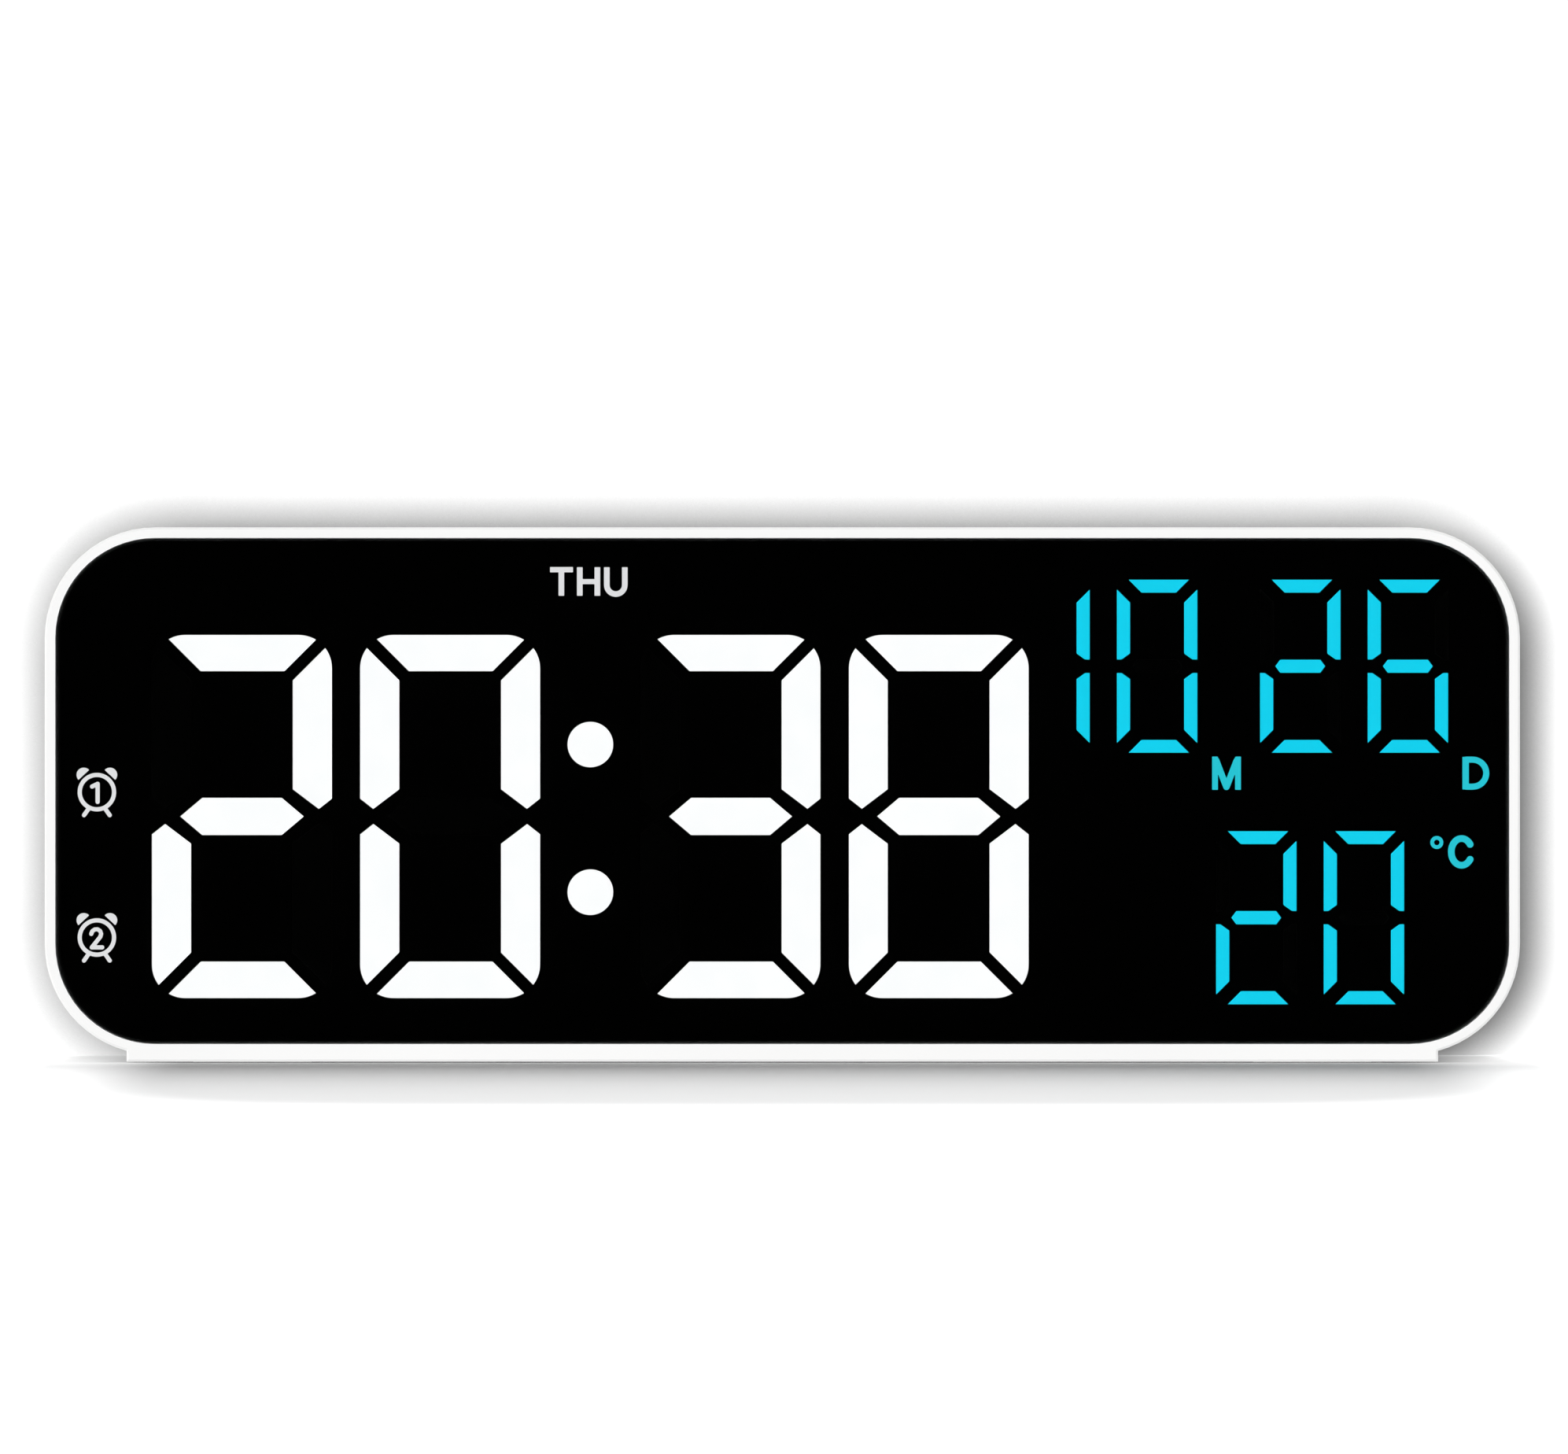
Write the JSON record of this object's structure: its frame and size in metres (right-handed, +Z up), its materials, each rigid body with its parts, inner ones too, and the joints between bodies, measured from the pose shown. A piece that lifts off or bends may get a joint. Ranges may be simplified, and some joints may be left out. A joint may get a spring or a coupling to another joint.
{
  "type": "digital alarm clock",
  "caption": "Wide digital alarm clock with a rounded slab case, black window, seven-segment time, date and temperature, rear keys and a battery bay.",
  "frame": {"origin": "on the table plane, under the centre of the bounding box", "axes": "+X to the right seen from the front, +Y to the back, +Z up; the display faces -Y"},
  "size_m": [0.2, 0.028, 0.0726],
  "materials": {
    "white_case": "satin",
    "clear_lens": "polished",
    "black_film": "gloss",
    "adhesive_tape": "matte",
    "white_light": "lit white",
    "cyan_light": "lit cyan",
    "dark_diffuser": "matte",
    "black_reflector": "matte",
    "board": "lacquered",
    "led_package": "satin",
    "black_package": "matte",
    "bright_metal": "bright",
    "screw_steel": "plated",
    "sensor_epoxy": "gloss",
    "grey_button": "satin",
    "switch_plunger": "matte",
    "cell_jacket": "film jacket",
    "pad_rubber": "matte"
  },
  "bodies": {
    "clock": {"front_bezel": "white_case", "rear_cover": "white_case", "display_lens": "clear_lens", "display_mask": "black_film", "lens_tape": "adhesive_tape", "hour_tens_digit": "white_light", "hour_units_digit": "white_light", "time_colon": "white_light", "minute_tens_digit": "white_light", "minute_units_digit": "white_light", "month_tens_digit": "cyan_light", "month_units_digit": "cyan_light", "day_tens_digit": "cyan_light", "day_units_digit": "cyan_light", "temperature_tens_digit": "cyan_light", "temperature_units_digit": "cyan_light", "unlit_segments": "dark_diffuser", "indicator_diffusers": "dark_diffuser", "display_reflector": "black_reflector", "main_board": "board", "segment_leds": "led_package", "control_chip": "black_package", "buzzer": "black_package", "board_resistors": "black_package", "key_switches": "black_package", "clock_crystal": "bright_metal", "board_capacitors": "bright_metal", "usb_socket": "bright_metal", "positive_contact": "bright_metal", "negative_contact": "bright_metal", "left_bridge_contact": "bright_metal", "right_bridge_contact": "bright_metal", "board_screws": "screw_steel", "case_screws": "screw_steel", "temperature_sensor": "sensor_epoxy", "battery_cell_1": "cell_jacket", "battery_cell_2": "cell_jacket", "battery_cell_3": "cell_jacket", "foot_pads": "pad_rubber"},
    "set_button": {"set_button": "grey_button", "set_switch_plunger": "switch_plunger"},
    "up_button": {"up_button": "grey_button", "up_switch_plunger": "switch_plunger"},
    "down_button": {"down_button": "grey_button", "down_switch_plunger": "switch_plunger"},
    "alarm_button": {"alarm_button": "grey_button", "alarm_switch_plunger": "switch_plunger"},
    "snooze_button": {"snooze_button": "grey_button", "snooze_switch_plunger": "switch_plunger"},
    "battery_door": {"battery_door": "white_case"}
  },
  "joints": [
    {"name": "set_press", "type": "slide", "parent": "clock", "child": "set_button", "axis": [0, -1, 0], "range_m": [0, 0.0005], "stiffness_N_per_m": 800},
    {"name": "up_press", "type": "slide", "parent": "clock", "child": "up_button", "axis": [0, -1, 0], "range_m": [0, 0.0005], "stiffness_N_per_m": 800},
    {"name": "down_press", "type": "slide", "parent": "clock", "child": "down_button", "axis": [0, -1, 0], "range_m": [0, 0.0005], "stiffness_N_per_m": 800},
    {"name": "alarm_press", "type": "slide", "parent": "clock", "child": "alarm_button", "axis": [0, -1, 0], "range_m": [0, 0.0005], "stiffness_N_per_m": 800},
    {"name": "snooze_press", "type": "slide", "parent": "clock", "child": "snooze_button", "axis": [0, -1, 0], "range_m": [0, 0.0005], "stiffness_N_per_m": 800},
    {"name": "battery_door_hinge", "type": "hinge", "parent": "clock", "child": "battery_door", "pos_m": [0.02515, 0.0129, 0.031], "axis": [0, 0, -1], "range_deg": [0, 90]}
  ]
}
